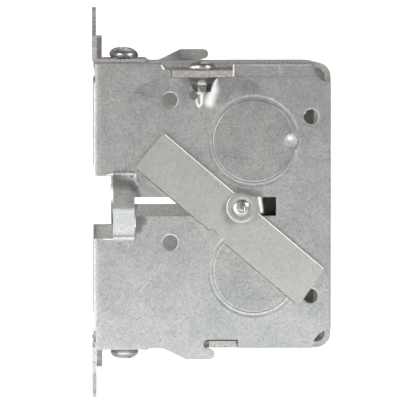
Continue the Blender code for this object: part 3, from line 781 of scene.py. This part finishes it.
def clip_mesh():
    """Disc, neck, bend, foot and tail: one strip of sheet 1 mm thick."""
    count = 96
    profile = [(4.0, CLIP_IN), (4.1, CLIP_IN - 0.12)]
    profile += [(radius, CLIP_OUT + rise) for radius, rise in (
        (4.1, 0.30), (4.07, 0.16), (3.99, 0.06), (3.86, 0.01), (3.3, 0.0), (2.9, 0.01), (2.6, 0.06), (2.35, 0.09),
        (2.1, 0.08), (1.5, 0.08))]
    rows = [([0.0], CLIP_IN), *[([radius] * count, y) for radius, y in profile], ([0.0], CLIP_OUT + 0.08)]
    disc = rings("disc", rows, "Y", (PX, PZ))
    path = [(2.7, CLIP_OUT + 0.12), (3.4, CLIP_OUT + 0.04), (4.1, CLIP_OUT + 0.02)]
    path += [(4.25 + 1.55 * math.sin(math.radians(a)), CLIP_OUT + 0.02 + 1.55 * (1 - math.cos(math.radians(a))))
             for a in range(10, 85, 8)]
    path += [(5.85, CLIP_OUT + 2.8), (5.88, CLIP_OUT + 4.4), (5.9, FOOT_Y + 0.6)]
    sections = []
    for i, (x, y) in enumerate(path):
        before, after = path[max(0, i - 1)], path[min(len(path) - 1, i + 1)]
        tx, ty = after[0] - before[0], after[1] - before[1]
        size = math.hypot(tx, ty)
        nx, ny = -ty / size, tx / size
        inner = (x + nx * 0.9, y + ny * 0.9)
        deep = min(1.0, max(0.0, (y - CLIP_OUT - 0.4) / 2.0))
        low_z, high_z = -1.50 + 0.14 * deep, 2.92 - 0.22 * deep
        lean = 0.32 * (1.0 - 0.4 * deep) if x > 3.6 else 0.0
        corners = [(x + lean, y, low_z), (x - lean * 0.4, y, high_z),
                   (inner[0] - lean * 0.4, inner[1], high_z), (inner[0] + lean, inner[1], low_z)]
        sections.append([(PX + cx, cy, PZ + cz) for cx, cy, cz in corners])
    neck = lofted("neck", sections)
    # the foot and tail sit behind the slot; their faces that look out take the near-black painted shade of the clip's
    # material, which darkens the slot beside the neck
    foot = prism("foot", "Y", FOOT_Y, FOOT_Y + 1.0, [(PX + x, PZ + z) for x, z in (
        (-2.4, -4.5), (5.9, -4.5), (5.9, 4.9), (-2.4, 4.9), (-3.0, 4.3), (-3.0, -3.9))])
    tail = prism("tail", "Z", PZ - 4.5, PZ + 4.9, [(PX + x, FOOT_Y + y) for x, y in (
        (5.0, 0.0), (5.9, -0.02), (8.2, 0.16), (8.5, 0.22), (10.9, 0.35), (10.8, 1.15), (5.0, 0.98))])
    return combined("clip", disc, [("UNION", neck), ("UNION", foot), ("UNION", tail)])


pair("bar_clip", clip_mesh(), clip_zinc, ("right_clip", "left_clip"), ("bar_clip_right", "bar_clip_left"), "zinc_clip",
     width=0.1, angle=40.0)


def rivet_mesh():
    """The rivet's peened head with its curled-over end, the shank, and the inner flange."""
    count = 40
    head = CLIP_OUT - 0.12
    rows = [([0.0], head - 0.78)]
    for a in range(10, 91, 10):
        angle = math.radians(a)
        rows.append(([2.2 * math.sin(angle)] * count, head - 0.78 * math.cos(angle) ** 1.3))
    rows += [([2.2] * count, head + 0.25), ([1.3] * count, head + 0.25), ([1.3] * count, rivet_high.y - 0.9),
             ([1.98] * count, rivet_high.y - 0.9), ([1.98] * count, rivet_high.y - 0.1),
             ([1.85] * count, rivet_high.y), ([0.0], rivet_high.y)]
    dome = rings("rivet", rows, "Y", (PX, PZ))
    sections = []
    steps = 40
    for i in range(steps + 1):
        t = i / steps
        angle = math.radians(95.0 + 330.0 * t)
        radius = 1.62 - 0.85 * t
        thick = 0.34 * math.sin(math.pi * (0.08 + t * 0.84)) ** 0.6
        x, z = PX + radius * math.cos(angle), PZ + radius * math.sin(angle)
        y = head - 0.78 * math.sqrt(max(0.0, 1.0 - (radius / 2.2) ** 2)) ** 1.3 + 0.04
        sections.append([(x + thick * math.cos(b) * math.cos(angle), y + thick * math.sin(b),
                          z + thick * math.cos(b) * math.sin(angle)) for b in [2 * math.pi * k / 10 for k in range(10)]])
    return combined("rivet", dome, [("UNION", lofted("curl", sections))])


pair("pivot_rivet", rivet_mesh(), rivet_zinc, ("right_clip", "left_clip"), ("pivot_rivet_right", "pivot_rivet_left"),
     "zinc_clip", width=0.0, angle=40.0)

# ---------------------------------------------------------------- pieces kept from the frame


def ear_look(node):
    """The ear's own sheet, drawn up to its tab and to the box, with an uneven sheared edge."""
    mesh = nodes[node].data.copy()
    shape = bmesh.new()
    shape.from_mesh(mesh)
    for count in (3, 1):
        bmesh.ops.subdivide_edges(shape, edges=[e for e in shape.edges if e.calc_length() > 4.0 * MM], cuts=count,
                                  use_grid_fill=False)
    bmesh.ops.triangulate(shape, faces=shape.faces)
    for vertex in shape.verts:
        x, y, z = vertex.co / MM
        side = 1.0 if z > 0 else -1.0
        tall = abs(z)
        wave = 0.05 * wobble.noise(Vector((x * 0.4, y * 0.9, z * 0.9)))
        if x < 0.05:
            x = -0.86 + (x + 0.9) * 1.14 + wave * (0.0 if tall < 40.0 else 1.0)
        if 38.6 < tall < 39.7 and x > -0.3:
            tall = 38.54 + (tall - 38.7) * 0.9
        vertex.co = Vector((x, y + wave, side * tall)) * MM
    shape.to_mesh(mesh)
    shape.free()
    return mesh


for level, body in (("top", "upper_ear"), ("bottom", "lower_ear")):
    added(f"ear_{level}_look", ear_look(f"ear_{level}"), ear_zinc, body, f"ear_{level}", "galvanised_sheet",
          width=0.12)
for name, material, width in (("box_body", body_zinc, 0.16), ("swing_bar_right", bar_zinc, 0.12),
                              ("swing_bar_left", bar_zinc, 0.12)):
    dressed(nodes[name], material, width)

# ---------------------------------------------------------------- stage, light and camera


def paper(name, colour, near_glow, far_glow):
    """White paper, lit from behind at the far end of the sweep."""
    material = bpy.data.materials.new(name)
    material.use_nodes = True
    tree = material.node_tree
    shader = tree.nodes["Principled BSDF"]
    place = tree.nodes.new("ShaderNodeTexCoord")
    tone = ramp(tree, noise(tree, place.outputs["Object"], 3.0, 2.0),
                [(0.3, tuple(c * 0.985 for c in colour)), (0.7, colour)])
    tree.links.new(tone, shader.inputs["Base Color"])
    shader.inputs["Roughness"].default_value = 0.8
    shader.inputs["Specular IOR Level"].default_value = 0.2
    shader.inputs["Emission Color"].default_value = (1.0, 1.0, 1.0, 1.0)
    axes = tree.nodes.new("ShaderNodeSeparateXYZ")
    link(tree, place, "Object", axes, "Vector")
    reach = value_of(tree, "MULTIPLY_ADD", axes.outputs["Y"], 1.0 / 0.35, -0.25, clamp=True)
    high = value_of(tree, "MULTIPLY_ADD", axes.outputs["Z"], -1.0 / 0.25, 1.6, clamp=True)
    wide = value_of(tree, "MULTIPLY_ADD", value_of(tree, "ABSOLUTE", axes.outputs["X"]), -1.0 / 0.5, 1.9,
                    clamp=True)
    reach = value_of(tree, "MULTIPLY", value_of(tree, "MULTIPLY", reach, high), wide)
    glow = value_of(tree, "MULTIPLY_ADD", reach, far_glow - near_glow, near_glow)
    tree.links.new(glow, shader.inputs["Emission Strength"])
    return material


FLOOR_Z = -0.26
TURN_Y, TURN_R = 1.6, 0.8  # where the floor starts to curve up, and how tightly
sweep = bmesh.new()
profile = [(-2.5, FLOOR_Z), (TURN_Y, FLOOR_Z)]
profile += [(TURN_Y + TURN_R * math.sin(math.radians(a)), FLOOR_Z + TURN_R * (1 - math.cos(math.radians(a))))
            for a in range(10, 91, 10)]
profile += [(TURN_Y + TURN_R, 2.6)]
rows = [[sweep.verts.new(Vector((x, y, z))) for x in (-3.0, 3.0)] for y, z in profile]
for near, far in zip(rows, rows[1:]):
    sweep.faces.new((near[0], near[1], far[1], far[0]))
floor = bpy.data.objects.new("studio_sweep", finished(sweep, "studio_sweep"))
for face in floor.data.polygons:
    face.use_smooth = True
floor.data.materials.append(paper("paper", (0.82, 0.82, 0.82), 0.06, 1.05))
scene.collection.objects.link(floor)

world = bpy.data.worlds.new("studio")
world.use_nodes = True
scene.world = world
sky = world.node_tree
background = sky.nodes["Background"]
direction = sky.nodes.new("ShaderNodeTexCoord")
split = sky.nodes.new("ShaderNodeSeparateXYZ")
link(sky, direction, "Generated", split, "Vector")
tone = ramp(sky, value_of(sky, "MULTIPLY_ADD", split.outputs["Z"], 0.5, 0.5),
            [(0.45, (0.75, 0.78, 0.84)), (0.52, (0.42, 0.42, 0.41)), (0.75, (0.30, 0.295, 0.285)),
             (1.0, (0.16, 0.16, 0.155))])
sky.links.new(tone, background.inputs["Color"])
background.inputs["Strength"].default_value = 0.15


def area(name, at, towards, size, power, colour):
    """A soft lamp: place and target in m, size in m, power in W."""
    lamp = bpy.data.lights.new(name, "AREA")
    lamp.shape = "RECTANGLE"
    lamp.size, lamp.size_y = size
    lamp.energy = power
    lamp.color = colour
    holder = bpy.data.objects.new(name, lamp)
    holder.location = at
    holder.rotation_euler = (Vector(towards) - Vector(at)).to_track_quat("-Z", "Y").to_euler()
    holder.visible_camera = False
    scene.collection.objects.link(holder)


area("key_left", (-0.66, -0.80, 0.40), (0.02, -0.02, 0.0), (0.07, 0.07), 4.4, (1.0, 0.985, 0.96))
area("side_right", (0.79, -0.63, 0.44), (0.03, -0.02, 0.0), (0.09, 0.09), 3.8, (0.98, 0.99, 1.0))
area("left_wash", (-0.80, -0.14, 0.02), (0.0, -0.02, 0.0), (0.40, 0.50), 4.2, (1.0, 0.99, 0.98))
area("overhead", (0.12, 0.45, 0.80), (0.03, 0.0, 0.0), (0.5, 0.5), 0.7, (1.0, 0.99, 0.98))
area("front_low", (0.0, -0.93, -0.235), (0.02, -0.02, -0.03), (0.30, 0.06), 0.06, (0.94, 0.97, 1.0))
area("bounce", (0.01, -0.17, -0.112), (0.03, -0.02, -0.02), (0.34, 0.10), 0.18, (0.92, 0.96, 1.0))

NEAR_Y = OUT * MM
MM_PER_PX = 0.269 * MM
IMAGE_PX = 416
ORIGIN_PX = (95.9, 205.7)  # where the frame's origin falls in the picture
aim = Vector(((IMAGE_PX / 2 - ORIGIN_PX[0]) * MM_PER_PX, NEAR_Y, (ORIGIN_PX[1] - IMAGE_PX / 2) * MM_PER_PX))
away = 0.965  # m, from the camera to the aim
yaw, pitch = math.radians(2.05), math.radians(3.26)
forward = Vector((math.sin(yaw) * math.cos(pitch), math.cos(yaw) * math.cos(pitch), -math.sin(pitch)))
lens = bpy.data.cameras.new("camera")
lens.sensor_width = 36.0
lens.lens = lens.sensor_width * away / (IMAGE_PX * MM_PER_PX)
lens.clip_start, lens.clip_end = 0.05, 20.0
camera = bpy.data.objects.new("camera", lens)
camera.location = aim - forward * away
camera.rotation_euler = forward.to_track_quat("-Z", "Y").to_euler()
scene.collection.objects.link(camera)
scene.camera = camera

scene.view_settings.view_transform = "Standard"
scene.view_settings.look = "None"

bpy.context.view_layer.update()
